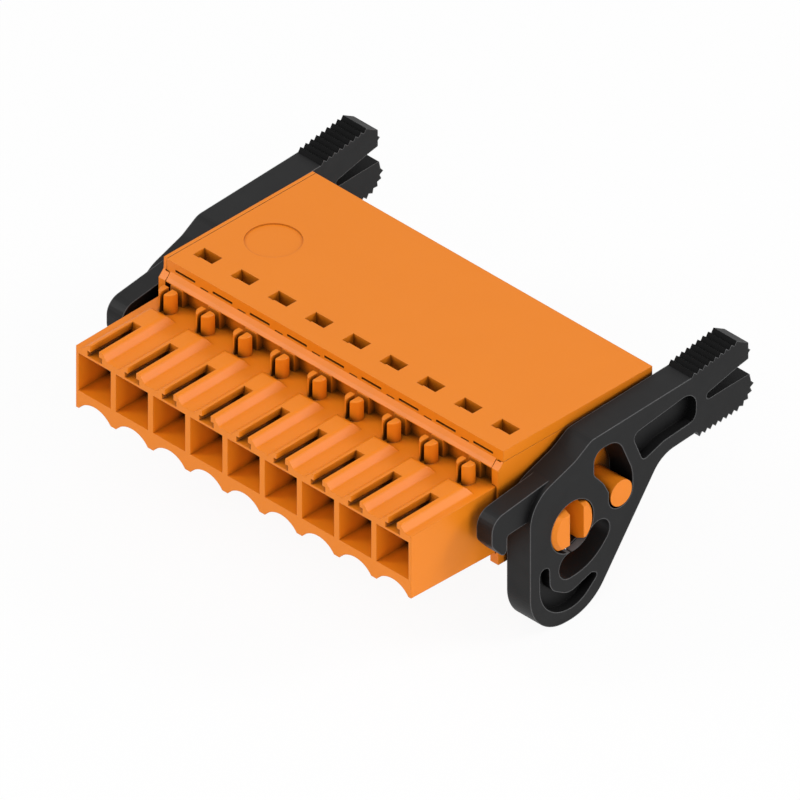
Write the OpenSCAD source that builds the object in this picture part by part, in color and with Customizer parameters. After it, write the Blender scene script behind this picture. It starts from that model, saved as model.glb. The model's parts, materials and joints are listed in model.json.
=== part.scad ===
// Pluggable terminal block with two release levers, in millimetres.
// X runs along the pole row, -Y is the mating side and +Z is up.
// The origin is the middle of the row, on the mating face, level with the levers' pivots.
// Heights are given above the underside of the plug nose, and up() turns them into Z.

/* [Pole row] */
// Number of poles
poles = 9; // [3:1:12]
// Distance between neighbouring poles
pitch = 3.5; // [3.45:0.05:3.8]

/* [Plug nose] */
// Height of the nose at the mating face, up to the valleys between its humps
nose_height = 4.97; // [4.9:0.01:5.2]
// Depth of the nose, from the mating face to the wire block
nose_depth = 8.45; // [8.3:0.05:8.6]
// Slope of the nose's top and underside, in degrees
draft_angle = 1.1; // [0.5:0.1:1.4]
// Height of the levers' pivots
pivot_height = 1.1; // [1:0.02:1.2]
// Width of a contact chamber
chamber_w = 3.02; // [2.8:0.02:3.06]
// Height of the chambers' floor
chamber_floor = 1.42; // [1.38:0.01:1.48]
// Thickness of the nose over the chambers, at the valleys between its humps
roof_t = 0.52; // [0.47:0.01:0.57]
// Radius of the scallops under the nose
scallop_r = 1.85; // [1.75:0.01:1.95]
// Height of the scallops' crown
scallop_crown = 0.76; // [0.6:0.01:0.8]

/* [Humps and coding slots] */
// Width of a hump at its foot
hump_w = 2.4; // [2.3:0.05:2.6]
// Width of a hump's flat top
hump_top_w = 1.35; // [1.2:0.05:1.5]
// Rise of a hump above the valleys
hump_rise = 0.53; // [0.5:0.01:0.7]
// Length of a hump at its foot
hump_length = 6.43; // [6:0.01:6.6]
// How far the hump's back end leans forward
hump_lean = 0.33; // [0.1:0.01:0.5]
// Width of the coding slot's mouth
slot_w = 0.82; // [0.7:0.01:0.9]
// Width of the coding slot's foot
slot_foot_w = 1.37; // [1.1:0.01:1.6]
// Height of the coding slot's foot
slot_foot_h = 0.43; // [0.3:0.01:0.5]
// Length of the coding slot
slot_length = 4.0; // [3.6:0.05:4.4]
// Length of the sill that closes the slot's floor at the mating face
slot_sill = 0.9; // [0.6:0.05:1.2]
// Thickness of the web between a chamber's roof and the coding slot
slot_web = 0.17; // [0.12:0.01:0.2]

/* [Wire block] */
// Height of the wire block's top
block_height = 7.87; // [7.8:0.01:8.2]
// Depth of the wire block
block_depth = 14.01; // [13.8:0.01:14.4]
// How far the wire block reaches below the nose
block_drop = 0.3; // [0.2:0.01:0.4]
// Thickness of the top slab over the end plates
slab_t = 0.87; // [0.8:0.01:0.9]
// Distance from the wire block's front to the test openings
window_y = 1.67; // [1.5:0.01:1.9]
// Width of a test opening
window_w = 1.68; // [1.4:0.01:1.8]
// Depth of a test opening along the block
window_d = 0.98; // [0.8:0.01:1.1]
// Radius of the shallow round mark in the top
mark_r = 1.98; // [1.6:0.01:2.2]

/* [Studs and ledge] */
// Radius of a split stud
stud_r = 0.67; // [0.6:0.01:0.75]
// Width of the slit in a stud
stud_slit = 0.35; // [0.25:0.01:0.45]
// Height of the studs' ends
stud_top = 6.7; // [6.6:0.01:6.95]
// Height of the ledge's lip
ledge_height = 6.4; // [6.2:0.01:6.5]
// How far the ledge stands out
ledge_out = 0.45; // [0.3:0.01:0.5]

/* [Wire clamps] */
// Width of a clamp chamber
clamp_w = 2.5; // [2.4:0.02:2.56]
// Height of the clamp chambers' roof
clamp_roof = 6.7; // [6.6:0.01:6.8]
// Depth at which the clamp chambers end
clamp_end = 17.05; // [16.9:0.05:17.3]
// Width and height of a wire entry
entry_w = 2.0; // [1.8:0.05:2.1]
// Width and height of its funnel at the rear face
funnel_w = 2.8; // [2.5:0.05:3]
// Length of the funnel
funnel_length = 1.6; // [1:0.1:2.4]
// Height of the wire entries' centres
entry_height = 2.4; // [2.3:0.02:2.5]
// Width of a pusher's shank
pusher_w = 2.0; // [1.8:0.02:2.1]
// Height of a pusher's shank
pusher_h = 1.8; // [1.6:0.02:1.9]
// How far a pusher stands out of the rear face
pusher_out = 0.6; // [0.4:0.05:0.7]
// Travel of a pusher
pusher_travel = 1.0; // [0.8:0.05:1]
// Thickness of the clamp spring's leaf
leaf_t = 0.25; // [0.2:0.01:0.28]
// Radius of the clamp spring's bend, on its middle line
bend_r = 0.875; // [0.84:0.005:0.9]
// Thickness of the contact's sheet
contact_t = 0.3; // [0.2:0.01:0.4]
// Depth at which the contact cages begin
contact_start = 2.8; // [2.6:0.05:3]

/* [End plates] */
// How far the end plates stand out beside the nose
plate_out = 0.22; // [0.18:0.01:0.3]
// Depth of the plates' seat in the wire block
plate_seat = 0.25; // [0.2:0.01:0.28]
// Depth of the plates' front edge, from the mating face
plate_front = 7.98; // [7.9:0.01:8.1]
// How far the plates' feet reach below the nose
foot_drop = 1.13; // [1:0.01:1.3]
// Depth of the levers' pivots, from the mating face
pivot_depth = 12.4; // [12.2:0.05:12.6]
// Radius of the pivot pin
pivot_r = 1.8; // [1.7:0.01:1.82]
// Width of the slit in the pivot pin
pivot_slit = 1.3; // [1:0.05:1.4]
// Direction of the stop pin from the pivot, in degrees
stop_angle = 5.3; // [3:0.1:8]

/* [Levers] */
// Thickness of a lever
lever_t = 2.2; // [2:0.05:2.4]
// Thickness of a lever's hook
hook_t = 1.44; // [1.2:0.02:1.6]
// Reach of a lever from its pivot to the end of its grip
lever_reach = 16.8; // [16.6:0.05:17.2]
// Distance between the ridges of the grip
ridge_pitch = 0.5; // [0.45:0.01:0.52]
// Height of the ridges of the grip
ridge_h = 0.28; // [0.2:0.01:0.32]
// How far the hook's outer face lies behind the lever's
hook_inset = 0.4; // [0.3:0.02:0.6]
// Depth of the blind pockets in a lever
pocket_t = 0.8; // [0.5:0.05:1]

/* [Fits] */
// Clearance of the lever round its pivot pin
pivot_gap = 0.06; // [0.04:0.01:0.07]
// Clearance of sliding pieces on each side
slide_gap = 0.05; // [0.02:0.01:0.06]
// Clearance of seated pieces on each side
seat_gap = 0.02; // [0.01:0.01:0.03]
// Width of the open seams between the mouldings
seam = 0.04; // [0.02:0.01:0.06]
// Space between a lever and its end plate
lever_space = 0.35; // [0.3:0.01:0.4]

/* [Hidden] */

orange = "#f08b32";
black = "#2c2c2e";
tin = "#c9c9c4";
steel = "#b9bcc0";
ivory = "#e9e6dc";

$fn = 48;
// Longest chord on a rounded corner
arc_chord = 0.25;
// Overrun of the cuts
over = 0.2;

half_row = poles * pitch / 2;
block_front = nose_depth;
block_back = nose_depth + block_depth;
ledge_top = block_height - slab_t;
chamber_roof = nose_height - roof_t;
slot_floor = chamber_roof + slot_web;
plate_inner = half_row - plate_seat;
plate_outer = half_row + plate_out;
lever_inner = plate_outer + lever_space;
lever_outer = lever_inner + lever_t;

// Rounding of the humps' feet, shoulders and back ends
hump_foot_r = 0.25;
hump_shoulder_r = 0.42;
hump_back_r = 0.5;
// The studs' front, straight back and bevelled top, and the pilasters behind them, which
// stand a little left of the poles
stud_front = 6.5;
stud_back = 0.2;
stud_bevel = 0.08;
stud_shift = -0.22;
pilaster_w = 1.1;
pilaster_out = 0.55;
// The ledge's lip and the break in its slanted top
ledge_lip = 0.06;
ledge_break_out = 0.25;
ledge_break_height = 6.67;
// A long and a short slit at each pole in the slab's front face
slit_depth = 0.3;
long_slit_w = 1.85;
long_slit_h = 0.18;
long_slit_height = 7.17;
long_slit_shift = 0.07;
short_slit_w = 0.74;
short_slit_h = 0.1;
short_slit_height = 7.02;
short_slit_shift = 1.86;
// Each test opening sits a little off its pole's centre and has a small notch
window_shift = 0.07;
notch_w = 0.55;
notch_d = 0.09;
// The round mark, from the left end of the row and from the mating face
mark_x = 3.6;
mark_y = 14.97;
mark_depth = 0.1;
// Inset of the slab's left edge, where the left plate shows beside it
slab_inset = 0.1;

// Where the contact chambers end and the taller clamp chambers begin
chamber_end = 8;
throat_end = 9.2;
// Peg that holds the clamp spring's bend
peg_y = 13.45;
peg_height = 5.6;
peg_r = 0.65;
// Spring leaf: width, slope and length of its clamping leg, length of its upper leg
leaf_w = 2.2;
leaf_angle = 47;
leaf_leg = 4.05;
leaf_hold = 2;
// Contact cage, the room over it, its spring tines and the bar behind it
cage_w = 2.4;
cage_room = 0.27;
cage_end = 7.9;
cage_roof_start = 4.4;
tine_t = 0.18;
tine_h = 1.2;
tine_start = 3.3;
tine_waist = 5.9;
tine_end = 7.2;
tine_gap = 0.7;
tine_flare = 1.1;
bar_w = 2.2;
bar_t = 0.4;
bar_end = 16.6;
// Pusher: shoulder, wedge and screwdriver groove
shoulder_w = 2.4;
shoulder_l = 0.8;
wedge_h = 1;
wedge_gap = 0.1;
groove_w = 0.5;
groove_d = 0.4;

// End plate: its thick rim at the end of the recess, and its foot
rim_t = 0.62;
rim_height = 5.17;
foot_t = 0.75;
foot_end = 16.2;
// Boss round the pivot, its space to the lever, and the pin's slit
boss_r = 2.6;
boss_gap = 0.05;
slit_start = -0.43;
// The pin's catch starts and ends behind the lever's face, and its nose stands out of it
catch_out = 0.15;
catch_start = 0.5;
catch_end = 0.1;
catch_gap = 0.06;
pin_out = 0.2;
pin_nose_r = 1.65;
pin_nose_h = 2.5;
pin_bevel_l = 1.4;

// Lever outline as [back, up, corner radius] from the pivot, in shares of lever_reach
front_shares = [
    [-0.2351, -0.4452, 0.1964],
    [-0.2351, 0.2155, 0.1667],
    [0.0179, 0.3054, 0.119],
    [0.1071, 0.3607, 0.0714]
];
top_grip_shares = [[0.6696, 0.3857], [0.9375, 0.4256]];
jaw_shares = [
    [0.9851, 0.4018, 0.009],
    [0.9851, 0.369, 0],
    [0.997, 0.3601, 0],
    [0.9851, 0.3512, 0],
    [0.9851, 0.3226, 0.003],
    [0.9315, 0.3125, 0],
    [0.7512, 0.2685, 0.0149],
    [0.7512, 0.2381, 0.0149],
    [0.869, 0.244, 0],
    [0.9917, 0.247, 0.006]
];
round_grip_shares = [0.9048, 0.2083, 0.0952];
round_grip_count = 5;
under_grip_shares = [[0.9048, 0.1131], [0.6964, 0.097]];
under_shares = [
    [0.6935, 0.1113, 0],
    [0.4994, 0.0964, 0.1488],
    [0.103, -0.4452, 0.2381]
];
hook_shares = [
    [-0.0833, 0.2649, 0],
    [-0.4262, 0.2173, 0.0714],
    [-0.4262, 0.0958, 0.0476],
    [-0.3423, -0.0036, 0.0179],
    [-0.3423, 0.1107, 0.0149],
    [-0.2357, 0.1185, 0],
    [-0.0833, 0.1185, 0]
];
pocket_shares = [
    [0.3345, 0.2714, 0.0298],
    [0.6964, 0.3232, 0.0655],
    [0.6905, 0.1756, 0.0417],
    [0.5119, 0.1595, 0.119],
    [0.3958, 0.1202, 0.0238]
];
// Stop pin: its radius and its distance from the pivot follow the lever, whose slot it rides in
stop_r_share = 0.0595;
stop_reach_share = 0.275;
stop_r = stop_r_share * lever_reach;
stop_reach = stop_reach_share * lever_reach;
// Blind crescent pocket, and the slot that the stop pin rides in, turned back by stop_angle
crescent_shares = [
    [-0.1815, -0.131, 0.025],
    [-0.1815, -0.381, 0.1667],
    [0.0417, -0.3929, 0.1488],
    [0.1518, -0.2946, 0.0179],
    [0.1071, -0.2738, 0.0179],
    [-0.0208, -0.3155, 0.0774],
    [-0.125, -0.25, 0.0714],
    [-0.128, -0.131, 0.025]
];
stop_slot_shares = [
    [0.1955, -0.0576, 0.0655],
    [0.333, -0.0703, 0.0655],
    [0.3463, 0.0725, 0.1786],
    [0.285, 0.2689, 0.0893],
    [0.1475, 0.2816, 0.0536],
    [0.1374, 0.1726, 0.0298],
    [0.1848, 0.1036, 0.0714],
    [0.2085, 0.0434, 0.0089]
];
// Curved window under the pivot: middle radius and half width
window_mid_share = 0.1815;
window_half_share = 0.0607;
window_angles = [-94, -35.6];
// How much wider the window's round ends are than the window, on each side
window_relief = 0.02;

function up(height) = height - pivot_height;
function pole_x(pole) = (pole - (poles + 1) / 2) * pitch;
function polar(radius, angle) = [radius * cos(angle), radius * sin(angle)];

// A closed outline whose corners [x, y, radius] are rounded off
function flat(point) = [point.x, point.y];
function toward(from, to) = (flat(to) - flat(from)) / norm(flat(to) - flat(from));
function turned(vector, angle) = [
    vector.x * cos(angle) - vector.y * sin(angle),
    vector.x * sin(angle) + vector.y * cos(angle)
];
function corner_arc(before, corner, after) =
    let (
        a = toward(corner, before),
        b = toward(corner, after),
        half = acos(a * b) / 2,
        centre = flat(corner) + (a + b) / norm(a + b) * corner.z / sin(half),
        start = flat(corner) + a * corner.z / tan(half) - centre,
        end = flat(corner) + b * corner.z / tan(half) - centre,
        sweep = (180 - 2 * half) * sign(cross(start, end)),
        steps = max(3, ceil(corner.z * PI * abs(sweep) / 180 / arc_chord))
    )
    [for (i = [0:steps]) centre + turned(start, sweep * i / steps)];
function rounded(corners) = [
    for (i = [0:len(corners) - 1])
        let (
            before = corners[(i + len(corners) - 1) % len(corners)],
            after = corners[(i + 1) % len(corners)]
        )
        each corners[i].z > 0 ? corner_arc(before, corners[i], after) : [flat(corners[i])]
];

// Ridges along a straight edge, standing to its left, and round the end of the grip
function ridges(from, to) =
    let (
        count = round(norm(to - from) / ridge_pitch),
        side = turned(to - from, 90) / norm(to - from)
    )
    [for (i = [0:count - 1]) each [
        point_on(from, to, i / count),
        point_on(from, to, (i + 1 / 2) / count) + [side.x, side.y, 0] * ridge_h
    ]];
function point_on(from, to, share) = [for (axis = [0:1]) from[axis] + (to[axis] - from[axis]) * share, 0];
function round_ridges(centre, radius, count) = [
    for (i = [0:2 * count - 1])
        let (spoke = polar(radius + (i % 2) * ridge_h, -90 * i / (2 * count)))
        [centre.x + spoke.x, centre.y + spoke.y, 0]
];

// Solids from outlines in the YZ plane and the XZ plane, blocks and rods
module along_x(from, to) {
    translate([from, 0, 0]) rotate([90, 0, 90]) linear_extrude(to - from) children();
}
module along_y(from, to) {
    translate([0, to, 0]) rotate([90, 0, 0]) linear_extrude(to - from) children();
}
module block(x, y, z) {
    translate([x[0], y[0], z[0]]) cube([x[1] - x[0], y[1] - y[0], z[1] - z[0]]);
}
module wide_block(width, y, z) {
    block([-width / 2, width / 2], y, z);
}
module rod_x(radius, from, to, centre) {
    translate([from, centre[0], centre[1]]) rotate([0, 90, 0]) cylinder(r = radius, h = to - from);
}
module ring_sector(inner, outer, angles, from, to, centre) {
    reach = 2 * outer;
    intersection() {
        difference() {
            rod_x(outer, from, to, centre);
            rod_x(inner, from - over, to + over, centre);
        }
        along_x(from - over, to + over) polygon([
            centre,
            centre + polar(reach, angles[0]),
            centre + polar(reach, (angles[0] + angles[1]) / 2),
            centre + polar(reach, angles[1])
        ]);
    }
}
module at_poles() {
    for (pole = [1:poles]) translate([pole_x(pole), 0, 0]) children();
}

// Housing: plug nose, studs, ledge and wire block in one moulding
module hump_section() {
    polygon(rounded([
        [-hump_w, 0, 0],
        [-hump_w, nose_height, 0],
        [-hump_w / 2, nose_height, hump_foot_r],
        [-hump_top_w / 2, nose_height + hump_rise, hump_shoulder_r],
        [hump_top_w / 2, nose_height + hump_rise, hump_shoulder_r],
        [hump_w / 2, nose_height, hump_foot_r],
        [hump_w, nose_height, 0],
        [hump_w, 0, 0]
    ]));
}

module hump_side() {
    crown = nose_height + hump_rise;
    polygon(rounded([
        [-over, 0, 0],
        [hump_length, 0, 0],
        [hump_length, nose_height, 0],
        [hump_length - hump_lean, crown, hump_back_r],
        [-over, crown + over, 0]
    ]));
}

// Turns one half of the nose about its middle height and cuts it flush with the mating face
module drafted(angle, from, to) {
    mid = nose_height / 2;
    intersection() {
        translate([0, 0, up(mid)]) rotate([angle, 0, 0]) translate([0, 0, -mid]) children();
        block([-half_row, half_row], [0, nose_depth + over], [up(from), up(to)]);
    }
}

module nose() {
    drafted(draft_angle, nose_height / 2, block_height) {
        block([-half_row, half_row], [-over, nose_depth + 2 * over], [0, nose_height]);
        intersection() {
            union() at_poles() along_y(-over, nose_depth) hump_section();
            along_x(-half_row, half_row) hump_side();
        }
    }
    drafted(-draft_angle, -block_drop, nose_height / 2) difference() {
        block([-half_row, half_row], [-over, nose_depth + 2 * over], [0, nose_height]);
        at_poles() translate([0, -2 * over, scallop_crown - scallop_r]) rotate([-90, 0, 0])
            cylinder(r = scallop_r, h = nose_depth + 5 * over);
    }
}

module stud() {
    centre_y = stud_front + stud_r;
    shaft_top = stud_top - stud_bevel;
    difference() {
        union() {
            translate([0, centre_y, up(nose_height)]) cylinder(r = stud_r, h = shaft_top - nose_height);
            translate([0, centre_y, up(shaft_top)])
                cylinder(r1 = stud_r, r2 = stud_r - stud_bevel, h = stud_bevel);
            wide_block(2 * stud_r, [centre_y, centre_y + stud_back], [up(nose_height), up(shaft_top)]);
        }
        wide_block(stud_slit, [stud_front - over, block_front], [up(nose_height), up(block_height)]);
        wide_block(2 * (stud_r + over), [centre_y + stud_back, block_front],
            [up(nose_height), up(block_height)]);
    }
    wide_block(pilaster_w, [block_front - pilaster_out, block_front + over],
        [up(nose_height), up(ledge_height + ledge_lip)]);
}

module ledge_section() {
    polygon([
        [block_front + over, up(ledge_height)],
        [block_front - ledge_out, up(ledge_height)],
        [block_front - ledge_out, up(ledge_height + ledge_lip)],
        [block_front - ledge_break_out, up(ledge_break_height)],
        [block_front, up(ledge_top)],
        [block_front + over, up(ledge_top)]
    ]);
}

module coding_slot() {
    wide_block(slot_w, [-over, slot_length], [up(slot_floor), up(block_height)]);
    wide_block(slot_foot_w, [-over, slot_length], [up(slot_floor), up(slot_floor + slot_foot_h)]);
    // Behind the sill the slot opens into the chamber
    wide_block(slot_w, [slot_sill, slot_length], [up(chamber_roof - over), up(slot_floor + over)]);
}

module funnel(from, to, throat, mouth, height) {
    intersection() {
        translate([0, 0, up(height) - mouth]) linear_extrude(2 * mouth) polygon([
            [-throat / 2, from], [throat / 2, from], [mouth / 2, to], [-mouth / 2, to]
        ]);
        along_x(-mouth, mouth) polygon([
            [from, up(height) - throat / 2], [from, up(height) + throat / 2],
            [to, up(height) + mouth / 2], [to, up(height) - mouth / 2]
        ]);
    }
}

module clamp_chamber() {
    wide_block(clamp_w, [chamber_end - over, clamp_end], [up(chamber_floor), up(chamber_roof)]);
    difference() {
        wide_block(clamp_w, [throat_end, clamp_end], [up(chamber_floor), up(clamp_roof)]);
        rod_x(peg_r, -clamp_w, clamp_w, [peg_y, up(peg_height)]);
    }
}

module wire_entry() {
    growth = (funnel_w - entry_w) / funnel_length;
    wide_block(entry_w, [clamp_end - over, block_back],
        [up(entry_height) - entry_w / 2, up(entry_height) + entry_w / 2]);
    funnel(block_back - funnel_length, block_back + over, entry_w, funnel_w + growth * over,
        entry_height);
}

module pusher_channel() {
    wide_block(pusher_w + 2 * slide_gap, [clamp_end - over, block_back + over],
        [up(clamp_roof) - pusher_h - 2 * slide_gap, up(clamp_roof)]);
}

module test_opening() {
    start = block_front + window_y;
    depth = [up(clamp_roof - over), up(block_height + over)];
    translate([window_shift, 0, 0]) {
        wide_block(window_w, [start, start + window_d], depth);
        block([-window_w / 2, notch_w - window_w / 2], [start - notch_d, start + window_d / 2], depth);
    }
}

module slab_slit(width, height, shift, level) {
    translate([shift, 0, 0]) wide_block(width, [block_front - over, block_front + slit_depth],
        [up(level), up(level + height)]);
}

module housing() {
    color(orange) difference() {
        union() {
            nose();
            wide_block(2 * plate_inner, [block_front, block_back], [up(-block_drop), up(block_height)]);
            block([slab_inset - half_row, plate_outer], [block_front, block_back],
                [up(ledge_top), up(block_height)]);
            along_x(rim_t + seam - plate_outer, plate_outer - rim_t - seam) ledge_section();
            at_poles() translate([stud_shift, 0, 0]) stud();
        }
        at_poles() {
            wide_block(chamber_w, [-over, chamber_end], [up(chamber_floor), up(chamber_roof)]);
            coding_slot();
            clamp_chamber();
            wire_entry();
            pusher_channel();
            test_opening();
            slab_slit(long_slit_w, long_slit_h, long_slit_shift, long_slit_height);
        }
        for (pole = [1:poles - 1]) translate([pole_x(pole), 0, 0])
            slab_slit(short_slit_w, short_slit_h, short_slit_shift, short_slit_height);
        translate([mark_x - half_row, mark_y, up(block_height - mark_depth)])
            cylinder(r = mark_r, h = mark_depth + over);
    }
}

// End plate with its foot, pivot pin and stop pin, drawn on the right
module plate_side(top) {
    polygon([
        [plate_front, up(-foot_drop)],
        [foot_end, up(-foot_drop)],
        [foot_end + foot_drop, up(-block_drop)],
        [block_back, up(-block_drop)],
        [block_back, up(top)],
        [block_front + seam, up(top)],
        [block_front, up(ledge_top - seam)],
        [block_front - ledge_break_out, up(ledge_break_height)],
        [plate_front, up(ledge_height + ledge_lip)]
    ]);
}

module split_pin() {
    centre = [pivot_depth, 0];
    catch_r = pivot_r + catch_out;
    root = lever_inner - boss_gap;
    tip = lever_outer + pin_out;
    slit = pivot_depth + slit_start;
    intersection() {
        difference() {
            union() {
                rod_x(pivot_r, plate_outer - over, lever_outer - catch_end, centre);
                rod_x(catch_r, lever_outer - catch_start, lever_outer - catch_end, centre);
                translate([lever_outer - catch_end, pivot_depth, 0]) rotate([0, 90, 0])
                    cylinder(r1 = catch_r, r2 = pin_nose_r, h = catch_end + pin_out);
            }
            block([root, tip + over], [slit, slit + pivot_slit], [-catch_r - over, catch_r + over]);
        }
        along_y(pivot_depth - catch_r - over, pivot_depth + catch_r + over) polygon([
            [plate_outer - 2 * over, -catch_r - over],
            [tip - pin_bevel_l, -catch_r],
            [tip, -pin_nose_h / 2],
            [tip, pin_nose_h / 2],
            [tip - pin_bevel_l, catch_r],
            [plate_outer - 2 * over, catch_r + over]
        ]);
    }
}

module end_plate(top) {
    difference() {
        along_x(plate_outer - foot_t, plate_outer) plate_side(top);
        // Room for the nose, the block and the slab, which the plate closes up to
        block([0, half_row + seat_gap], [0, block_front + over], [up(-block_drop), up(rim_height)]);
        block([0, plate_outer - rim_t], [0, block_front + over], [up(-block_drop), up(block_height)]);
        block([0, half_row + seat_gap], [block_front - seam, block_front + seam],
            [up(-block_drop - seat_gap), up(ledge_top)]);
        block([0, plate_inner + seat_gap], [block_front - seam, block_back + over],
            [up(-block_drop - seat_gap), up(ledge_top)]);
        block([0, half_row - slab_inset + seam], [block_front - seam, block_back + over],
            [up(ledge_top - seat_gap), up(block_height + over)]);
    }
    rod_x(boss_r, plate_outer - plate_seat / 2, lever_inner - boss_gap, [pivot_depth, 0]);
    split_pin();
    rod_x(stop_r, plate_outer - plate_seat / 2, lever_outer,
        [pivot_depth, 0] + polar(stop_reach, stop_angle));
}

module right_end_plate() {
    color(orange) end_plate(ledge_top - seat_gap);
}

module left_end_plate() {
    color(orange) mirror([1, 0, 0]) end_plate(block_height);
}

// Lever with its hook, drawn on the right with its pivot at the origin of the YZ plane
module lever_side() {
    polygon(rounded(concat(
        front_shares * lever_reach,
        ridges(top_grip_shares[0] * lever_reach, top_grip_shares[1] * lever_reach),
        jaw_shares * lever_reach,
        round_ridges(round_grip_shares * lever_reach, round_grip_shares.z * lever_reach,
            round_grip_count),
        ridges(under_grip_shares[0] * lever_reach, under_grip_shares[1] * lever_reach),
        under_shares * lever_reach
    )));
}

// The curved window: a slot round the pivot with round ends
module curved_window() {
    mid = window_mid_share * lever_reach;
    half = window_half_share * lever_reach;
    ring_sector(mid - half, mid + half, window_angles, lever_inner - over, lever_outer + over, [0, 0]);
    for (angle = window_angles)
        rod_x(half + window_relief, lever_inner - over, lever_outer + over, polar(mid, angle));
}

module lever() {
    bore_r = pivot_r + pivot_gap;
    translate([0, pivot_depth, 0]) difference() {
        union() {
            along_x(lever_inner, lever_outer) lever_side();
            along_x(lever_outer - hook_inset - hook_t, lever_outer - hook_inset)
                polygon(rounded(hook_shares * lever_reach));
        }
        rod_x(bore_r, lever_inner - over, lever_outer + over, [0, 0]);
        rod_x(bore_r + catch_out, lever_outer - catch_start - catch_gap, lever_outer + over, [0, 0]);
        along_x(lever_inner - over, lever_outer + over)
            rotate(stop_angle) polygon(rounded(stop_slot_shares * lever_reach));
        curved_window();
        along_x(lever_outer - pocket_t, lever_outer + over) {
            polygon(rounded(pocket_shares * lever_reach));
            polygon(rounded(crescent_shares * lever_reach));
        }
    }
}

module right_lever() {
    color(black) lever();
}

module left_lever() {
    color(black) mirror([1, 0, 0]) lever();
}

// Contact: a folded cage with two tines, and the bar that the wire is pressed on
module tine() {
    wall = cage_w / 2 - contact_t;
    linear_extrude(tine_h) polygon([
        [wall + contact_t / 2, tine_start],
        [wall, tine_start],
        [tine_gap / 2, tine_waist],
        [tine_flare / 2, tine_end],
        [tine_flare / 2 + tine_t, tine_end],
        [tine_gap / 2 + tine_t, tine_waist],
        [wall, tine_start + 2 * tine_t],
        [wall + contact_t / 2, tine_start + 2 * tine_t]
    ]);
}

module contact(pole) {
    floor_z = up(chamber_floor + seat_gap);
    cage_h = chamber_roof - chamber_floor - cage_room;
    color(tin) translate([pole_x(pole), 0, 0]) {
        difference() {
            wide_block(cage_w, [contact_start, cage_end], [floor_z, floor_z + cage_h]);
            wide_block(cage_w - 2 * contact_t, [contact_start - over, cage_end + over],
                [floor_z + contact_t, floor_z + cage_h - contact_t]);
            wide_block(cage_w - 2 * contact_t, [contact_start - over, cage_roof_start],
                [floor_z + contact_t, floor_z + cage_h + over]);
        }
        for (side = [0, 1]) mirror([side, 0, 0]) translate([0, 0, floor_z + (cage_h - tine_h) / 2])
            tine();
        wide_block(bar_w, [cage_end - contact_t, bar_end], [floor_z, floor_z + bar_t]);
    }
}

// Clamp spring: a leaf bent round its peg, its long leg pressing towards the bar
module leaf_strip(angle, from, to) {
    translate([0, peg_y, up(peg_height)]) rotate([angle, 0, 0])
        wide_block(leaf_w, [bend_r - leaf_t / 2, bend_r + leaf_t / 2], [from, to]);
}

module clamp_spring(pole) {
    color(steel) translate([pole_x(pole), 0, 0]) {
        ring_sector(bend_r - leaf_t / 2, bend_r + leaf_t / 2, [leaf_angle - 90, 90],
            -leaf_w / 2, leaf_w / 2, [peg_y, up(peg_height)]);
        leaf_strip(90, 0, leaf_hold);
        leaf_strip(leaf_angle - 90, -leaf_leg, 0);
    }
}

// Pusher: shank in its channel, shoulder that keeps it in, wedge towards the spring
module pusher(pole) {
    top = up(clamp_roof) - slide_gap;
    bottom = top - pusher_h;
    shoulder = clamp_end - slide_gap;
    wedge_tip = peg_y + bend_r + leaf_t / 2 + pusher_travel + wedge_gap;
    face = block_back + pusher_out;
    color(ivory) translate([pole_x(pole), 0, 0]) difference() {
        union() {
            wide_block(pusher_w, [shoulder - shoulder_l, face], [bottom, top]);
            wide_block(shoulder_w, [shoulder - shoulder_l, shoulder], [bottom, top]);
            along_x(-pusher_w / 2, pusher_w / 2) polygon([
                [shoulder - shoulder_l, bottom],
                [wedge_tip, bottom],
                [wedge_tip, bottom + wedge_h / 2],
                [shoulder - shoulder_l, bottom + wedge_h]
            ]);
        }
        wide_block(pusher_w + 2 * over, [face - groove_d, face + over],
            [(top + bottom - groove_w) / 2, (top + bottom + groove_w) / 2]);
    }
}

housing();
left_end_plate();
right_end_plate();
left_lever();
right_lever();
for (pole = [1:poles]) contact(pole);
for (pole = [1:poles]) clamp_spring(pole);
for (pole = [1:poles]) pusher(pole);
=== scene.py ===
"""Looks of the pluggable terminal block: plastics, metals, soft edges, light, floor and camera."""

import json
import math
from collections import namedtuple

import bpy
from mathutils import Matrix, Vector


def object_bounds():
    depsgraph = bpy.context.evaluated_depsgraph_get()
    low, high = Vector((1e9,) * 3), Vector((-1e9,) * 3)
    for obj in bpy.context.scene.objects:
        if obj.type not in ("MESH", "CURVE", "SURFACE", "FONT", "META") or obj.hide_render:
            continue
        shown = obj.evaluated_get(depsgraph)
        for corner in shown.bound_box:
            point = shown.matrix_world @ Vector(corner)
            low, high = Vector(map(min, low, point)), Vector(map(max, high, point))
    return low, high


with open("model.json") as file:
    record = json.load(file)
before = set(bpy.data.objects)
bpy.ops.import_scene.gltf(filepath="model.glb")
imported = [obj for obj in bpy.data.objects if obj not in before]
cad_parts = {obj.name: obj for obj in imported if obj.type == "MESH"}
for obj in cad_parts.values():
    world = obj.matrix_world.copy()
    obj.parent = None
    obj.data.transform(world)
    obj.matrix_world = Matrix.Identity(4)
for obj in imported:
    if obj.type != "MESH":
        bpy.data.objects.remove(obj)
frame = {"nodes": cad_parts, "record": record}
cad_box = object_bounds()

MM = 0.001

# View of the photograph: an orthographic camera, 45 degrees round and 35 degrees up
CAMERA_AZIMUTH = 45.0
CAMERA_ELEVATION = 35.0
CAMERA_TARGET = Vector((0.06, 14.65, 0.0)) * MM
CAMERA_DISTANCE = 200 * MM
VIEW_WIDTH = 53.19 * MM
CLIP_NEAR = 1 * MM
CLIP_FAR = 10000 * MM

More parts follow.
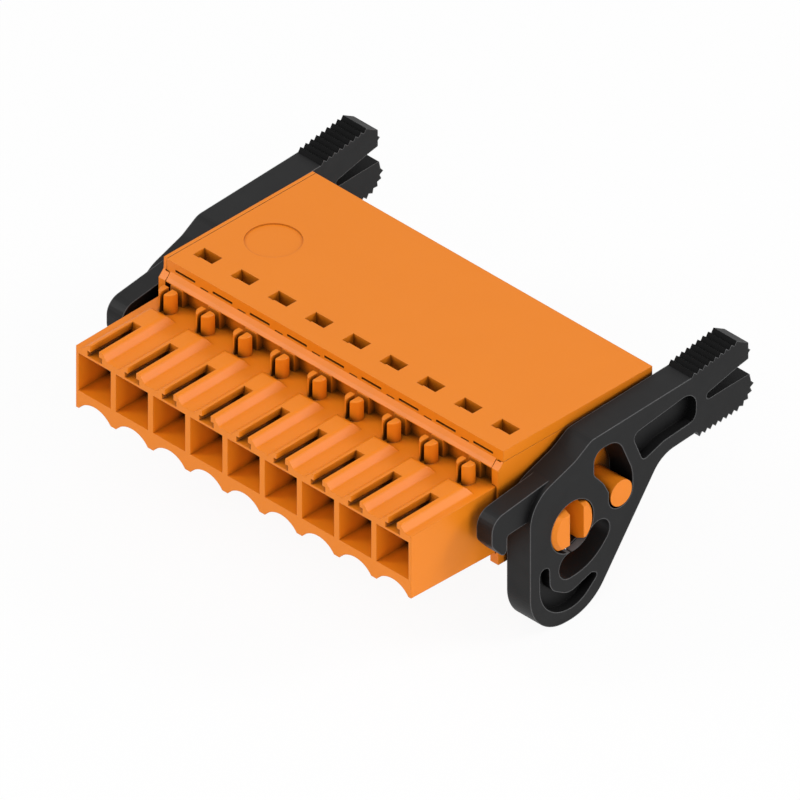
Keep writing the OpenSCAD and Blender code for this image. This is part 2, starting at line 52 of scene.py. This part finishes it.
# Colours, linear
ORANGE = (0.82, 0.226, 0.0095, 1)
ORANGE_DEEP = (0.79, 0.212, 0.0075, 1)
BLACK = (0.0056, 0.0056, 0.0058, 1)
BLACK_WORN = (0.0072, 0.0072, 0.0075, 1)
# Painted highlight along the levers' convex edges
BLACK_EDGE_HIGHLIGHT = (0.110, 0.110, 0.112, 1)
# Painted shade on the teeth of the levers' grips
BLACK_GRIP_PAINTED_SHADE = (0.0045, 0.0045, 0.0046, 1)
TIN = (0.58, 0.57, 0.54, 1)
TIN_DULL = (0.44, 0.43, 0.41, 1)
STEEL = (0.50, 0.51, 0.53, 1)
STEEL_DULL = (0.36, 0.37, 0.39, 1)
IVORY = (0.80, 0.77, 0.68, 1)
IVORY_DEEP = (0.72, 0.68, 0.58, 1)
WHITE = (1, 1, 1, 1)
NOTHING = (0, 0, 0, 1)
FLOOR_WHITE = (0.9, 0.9, 0.9, 1)

# Painted shade in the recesses of each plastic, and painted shade that dims the gloss of the teeth
# on the levers' grips
ORANGE_SHADE = (0.06, 0.07, 0.10, 1)
BLACK_SHADE = (0.20, 0.18, 0.17, 1)
GRIP_GLOSS_PAINTED_SHADE = (0.15, 0.15, 0.15, 1)

# Start of a lever's toothed grip, as a share of the lever's length
GRIP_START = 0.757

# Largest sideways share of the normal of a face that belongs to the teeth
TOOTH_SIDEWAYS = 0.5

# Rounding of the mouldings' and the sheet metal's edges, and its samples
MOULDING_EDGE = 0.06 * MM
METAL_EDGE = 0.03 * MM
EDGE_SAMPLES = 4

# Reach of the painted shade in recesses and of the painted highlights along edges, with the span
# of openness over which each comes in, and the samples of both
SHADE_REACH = 1.4 * MM
SHADE_SPAN = (0.28, 0.66)
EDGE_HIGHLIGHT_REACH = 0.11 * MM
EDGE_HIGHLIGHT_SPAN = (0.55, 0.86)
OPENNESS_SAMPLES = 8

# Level of each plastic's gloss
ORANGE_GLOSS = 0.25
BLACK_GLOSS = 0.2

# A finish: scale and spread of the colour's mottling, scale, depth and strength of the grain,
# and scale of the patches between the smoothest and the roughest
Finish = namedtuple("Finish", "mottling spread grain depth strength patches smooth rough")
ORANGE_FINISH = Finish(160.0, 0.4, 9000.0, 0.010 * MM, 0.10, 700.0, 0.36, 0.42)
BLACK_FINISH = Finish(300.0, 0.4, 12000.0, 0.010 * MM, 0.15, 900.0, 0.46, 0.58)
IVORY_FINISH = Finish(260.0, 0.4, 9000.0, 0.010 * MM, 0.12, 700.0, 0.38, 0.50)
METAL_FINISH = Finish(900.0, 0.35, 15000.0, 0.006 * MM, 0.15, 1500.0, 0.28, 0.42)

# Detail and roughness of the noise in each
MOTTLING_NOISE = (4.0, 0.6)
GRAIN_NOISE = (3.0, 0.7)
PATCHES_NOISE = (2.0, 0.5)

# Floor: half its side, its drop below the lowest point, its roughness, and the share of its look
# that is plain white
FLOOR_HALF = 2000 * MM
FLOOR_DROP = 0.05 * MM
FLOOR_ROUGHNESS = 0.9
FLOOR_GLOW = 0.93

# Strength of the light from all round, and the soft boxes with their place, size and power
AMBIENT = 0.41
SOFTBOXES = {
    "key": ((0.06, -0.10, 0.36), 0.22, 0.15),
    "left": ((-0.21, -0.19, 0.20), 0.12, 0.42),
    "right": ((0.20, 0.22, 0.20), 0.12, 0.43),
    "side": ((0.32, -0.06, 0.07), 0.12, 0.18),
    "fill": ((0.21, -0.21, 0.21), 0.16, 0.30),
}

# Sockets of a Mix node set to colours: factor, first and second colour, and result
MIX_FACTOR, MIX_FIRST, MIX_SECOND = 0, 6, 7
MIX_RESULT = 2


def add_node(tree, kind, **sockets):
    """A shader node whose input sockets are set by name."""
    node = tree.nodes.new(kind)
    for name, value in sockets.items():
        node.inputs[name].default_value = value
    return node


def new_material(name):
    """An empty node material with its Principled shader."""
    material = bpy.data.materials.new(name)
    material.use_nodes = True
    tree = material.node_tree
    return material, tree, tree.nodes["Principled BSDF"]


def blend(tree, kind, factor, first, second):
    """Blends two colours. Each of the three inputs is a socket or a value."""
    mix = tree.nodes.new("ShaderNodeMix")
    mix.data_type = "RGBA"
    mix.blend_type = kind
    for place, value in ((MIX_FACTOR, factor), (MIX_FIRST, first), (MIX_SECOND, second)):
        if isinstance(value, bpy.types.NodeSocket):
            tree.links.new(value, mix.inputs[place])
        else:
            mix.inputs[place].default_value = value
    return mix.outputs[MIX_RESULT]


def calculate(tree, operation, first, second):
    """A sum or comparison of two numbers, each a socket or a value."""
    node = tree.nodes.new("ShaderNodeMath")
    node.operation = operation
    for place, value in enumerate((first, second)):
        if isinstance(value, bpy.types.NodeSocket):
            tree.links.new(value, node.inputs[place])
        else:
            node.inputs[place].default_value = value
    return node.outputs[0]


def ramp(tree, source, stops):
    """A colour ramp through (position, colour) stops."""
    node = tree.nodes.new("ShaderNodeValToRGB")
    for element, (position, colour) in zip(node.color_ramp.elements, stops):
        element.position = position
        element.color = colour
    tree.links.new(source, node.inputs["Fac"])
    return node.outputs["Color"]


def noise(tree, scale, kind):
    """Noise that is fixed to the object, of a kind given by its detail and roughness."""
    detail, roughness = kind
    place = tree.nodes.new("ShaderNodeTexCoord")
    texture = add_node(tree, "ShaderNodeTexNoise", Scale=scale, Detail=detail, Roughness=roughness)
    tree.links.new(place.outputs["Object"], texture.inputs["Vector"])
    return texture.outputs["Fac"]


def openness(tree, reach, inside):
    """How open the surface is, or with inside how far it is from a convex edge."""
    node = add_node(tree, "ShaderNodeAmbientOcclusion", Distance=reach)
    node.samples = OPENNESS_SAMPLES
    node.inside = inside
    return node.outputs["AO"]


def mottled(tree, main, other, finish):
    """Two close colours in a soft noise, as a moulded or rolled surface has them."""
    stops = ((0.5 - finish.spread, main), (0.5 + finish.spread, other))
    return ramp(tree, noise(tree, finish.mottling, MOTTLING_NOISE), stops)


def recesses(tree, shade):
    """White where the surface is open, and the shade in recesses and corners."""
    dark, light = SHADE_SPAN
    return ramp(tree, openness(tree, SHADE_REACH, False), ((dark, shade), (light, WHITE)))


def shaded(tree, colour, shade):
    """The colour with painted shade in recesses and corners."""
    return blend(tree, "MULTIPLY", 1.0, colour, recesses(tree, shade))


def edge_highlighted(tree, colour, highlight_colour):
    """The colour with a thin painted highlight along convex edges."""
    edge, face = EDGE_HIGHLIGHT_SPAN
    line = ramp(tree, openness(tree, EDGE_HIGHLIGHT_REACH, True), ((edge, WHITE), (face, NOTHING)))
    return blend(tree, "MIX", line, colour, highlight_colour)


def relief(tree, shader, edge, finish):
    """Rounded edges under a fine grain."""
    rounding = add_node(tree, "ShaderNodeBevel", Radius=edge)
    rounding.samples = EDGE_SAMPLES
    bump = add_node(tree, "ShaderNodeBump", Strength=finish.strength, Distance=finish.depth)
    tree.links.new(noise(tree, finish.grain, GRAIN_NOISE), bump.inputs["Height"])
    tree.links.new(rounding.outputs["Normal"], bump.inputs["Normal"])
    tree.links.new(bump.outputs["Normal"], shader.inputs["Normal"])


def rough_patches(tree, shader, finish):
    """Roughness that varies softly between the finish's two values."""
    span = tree.nodes.new("ShaderNodeMapRange")
    span.inputs["To Min"].default_value = finish.smooth
    span.inputs["To Max"].default_value = finish.rough
    tree.links.new(noise(tree, finish.patches, PATCHES_NOISE), span.inputs["Value"])
    tree.links.new(span.outputs["Result"], shader.inputs["Roughness"])


def coat(tree, shader, colour, edge, finish):
    """Gives the shader its colour, relief and roughness."""
    tree.links.new(colour, shader.inputs["Base Color"])
    relief(tree, shader, edge, finish)
    rough_patches(tree, shader, finish)


def orange_plastic():
    """The housing's and the end plates' plastic."""
    material, tree, shader = new_material("orange_plastic")
    shader.inputs["Specular IOR Level"].default_value = ORANGE_GLOSS
    # Painted shade in recesses and corners
    colour = shaded(tree, mottled(tree, ORANGE, ORANGE_DEEP, ORANGE_FINISH), ORANGE_SHADE)
    coat(tree, shader, colour, MOULDING_EDGE, ORANGE_FINISH)
    return material


def grip(tree):
    """1 on the teeth of a lever's grip, where shade is painted, and 0 on its flanks and on the
    rest of the lever.
    """
    place = tree.nodes.new("ShaderNodeTexCoord")
    along = tree.nodes.new("ShaderNodeSeparateXYZ")
    facing = tree.nodes.new("ShaderNodeSeparateXYZ")
    tree.links.new(place.outputs["Generated"], along.inputs[0])
    tree.links.new(place.outputs["Normal"], facing.inputs[0])
    sideways = calculate(tree, "ABSOLUTE", facing.outputs["X"], 0.0)
    toothed = calculate(tree, "LESS_THAN", sideways, TOOTH_SIDEWAYS)
    behind = calculate(tree, "GREATER_THAN", along.outputs["Y"], GRIP_START)
    return calculate(tree, "MULTIPLY", toothed, behind)


def black_plastic():
    """The levers' plastic, with painted shade that makes it duller and darker on the teeth of
    their grips.
    """
    material, tree, shader = new_material("black_plastic")
    shader.inputs["Specular IOR Level"].default_value = BLACK_GLOSS
    # Painted shade on the teeth of the grips: a dimmer gloss and a darker colour
    teeth = grip(tree)
    # Painted shade in recesses and corners, on the gloss and on the colour
    light = blend(tree, "MIX", teeth, recesses(tree, BLACK_SHADE), GRIP_GLOSS_PAINTED_SHADE)
    tree.links.new(light, shader.inputs["Specular Tint"])
    body = blend(tree, "MULTIPLY", 1.0, mottled(tree, BLACK, BLACK_WORN, BLACK_FINISH), light)
    # Painted highlight along convex edges, and painted shade on the teeth
    colour = blend(tree, "MIX", teeth, edge_highlighted(tree, body, BLACK_EDGE_HIGHLIGHT), BLACK_GRIP_PAINTED_SHADE)
    coat(tree, shader, colour, MOULDING_EDGE, BLACK_FINISH)
    return material


def ivory_plastic():
    """The pushers' plastic."""
    material, tree, shader = new_material("ivory_plastic")
    # Painted shade in recesses and corners
    colour = shaded(tree, mottled(tree, IVORY, IVORY_DEEP, IVORY_FINISH), ORANGE_SHADE)
    coat(tree, shader, colour, MOULDING_EDGE, IVORY_FINISH)
    return material


def rolled_metal(name, main, other):
    """Sheet metal of two close colours."""
    material, tree, shader = new_material(name)
    shader.inputs["Metallic"].default_value = 1.0
    coat(tree, shader, mottled(tree, main, other, METAL_FINISH), METAL_EDGE, METAL_FINISH)
    return material


def finish_for_slots():
    """One material for each material slot of the record."""
    return {
        "orange": orange_plastic(),
        "black": black_plastic(),
        "tin": rolled_metal("tinned_copper", TIN, TIN_DULL),
        "steel": rolled_metal("spring_steel", STEEL, STEEL_DULL),
        "ivory": ivory_plastic(),
    }


def dress_nodes():
    """Gives every CAD node its material."""
    finishes = finish_for_slots()
    for part in frame["record"]["subparts"]:
        node = frame["nodes"][part["node"]]
        node.data.materials.clear()
        node.data.materials.append(finishes[part["material_slot"]])


def seen(tree):
    """1 for what the camera sees, straight or in gloss or through glass, and 0 for other light."""
    path = tree.nodes.new("ShaderNodeLightPath")
    total = path.outputs["Is Camera Ray"]
    for name in ("Is Glossy Ray", "Is Transmission Ray"):
        total = calculate(tree, "MAXIMUM", total, path.outputs[name])
    return total


def floor():
    """A wide pale floor under the lowest point, white to the camera but for the shadow."""
    low = cad_box[0].z - FLOOR_DROP
    half = FLOOR_HALF
    mesh = bpy.data.meshes.new("floor")
    corners = [(-half, -half, low), (half, -half, low), (half, half, low), (-half, half, low)]
    mesh.from_pydata(corners, [], [(0, 1, 2, 3)])
    plane = bpy.data.objects.new("floor", mesh)
    bpy.context.scene.collection.objects.link(plane)
    material, tree, shader = new_material("floor_white")
    shader.inputs["Base Color"].default_value = FLOOR_WHITE
    shader.inputs["Roughness"].default_value = FLOOR_ROUGHNESS
    shader.inputs["Specular IOR Level"].default_value = 0.0
    glow = add_node(tree, "ShaderNodeEmission", Color=WHITE, Strength=1.0)
    mix = tree.nodes.new("ShaderNodeMixShader")
    tree.links.new(calculate(tree, "MULTIPLY", seen(tree), FLOOR_GLOW), mix.inputs["Fac"])
    tree.links.new(shader.outputs["BSDF"], mix.inputs[1])
    tree.links.new(glow.outputs["Emission"], mix.inputs[2])
    tree.links.new(mix.outputs["Shader"], tree.nodes["Material Output"].inputs["Surface"])
    mesh.materials.append(material)


def world_light():
    """Even pale light from all round, white where the camera sees it."""
    world = bpy.data.worlds.new("studio")
    bpy.context.scene.world = world
    world.use_nodes = True
    tree = world.node_tree
    ambient = tree.nodes["Background"]
    ambient.inputs["Color"].default_value = WHITE
    ambient.inputs["Strength"].default_value = AMBIENT
    white = add_node(tree, "ShaderNodeBackground", Color=WHITE, Strength=1.0)
    mix = tree.nodes.new("ShaderNodeMixShader")
    tree.links.new(seen(tree), mix.inputs["Fac"])
    tree.links.new(ambient.outputs["Background"], mix.inputs[1])
    tree.links.new(white.outputs["Background"], mix.inputs[2])
    tree.links.new(mix.outputs["Shader"], tree.nodes["World Output"].inputs["Surface"])


def softbox(name, place, size, power):
    """A square area lamp that points at the object's middle."""
    light = bpy.data.lights.new(name, "AREA")
    light.size = size
    light.energy = power
    lamp = bpy.data.objects.new(name, light)
    lamp.location = Vector(place)
    middle = (cad_box[0] + cad_box[1]) / 2
    lamp.rotation_euler = (middle - lamp.location).to_track_quat("-Z", "Y").to_euler()
    bpy.context.scene.collection.objects.link(lamp)


def lights():
    """The light from all round and the soft boxes."""
    world_light()
    for name, (place, size, power) in SOFTBOXES.items():
        softbox(name, place, size, power)


def camera():
    """The photograph's view."""
    azimuth = math.radians(CAMERA_AZIMUTH)
    elevation = math.radians(CAMERA_ELEVATION)
    back = Vector((
        math.sin(azimuth) * math.cos(elevation),
        -math.cos(azimuth) * math.cos(elevation),
        math.sin(elevation),
    ))
    data = bpy.data.cameras.new("camera")
    data.type = "ORTHO"
    data.ortho_scale = VIEW_WIDTH
    data.clip_start = CLIP_NEAR
    data.clip_end = CLIP_FAR
    eye = bpy.data.objects.new("camera", data)
    eye.location = CAMERA_TARGET + back * CAMERA_DISTANCE
    eye.rotation_mode = "QUATERNION"
    eye.rotation_quaternion = (-back).to_track_quat("-Z", "Y")
    bpy.context.scene.collection.objects.link(eye)
    bpy.context.scene.camera = eye


camera()
dress_nodes()
floor()
lights()
bpy.context.scene.view_settings.view_transform = "Standard"
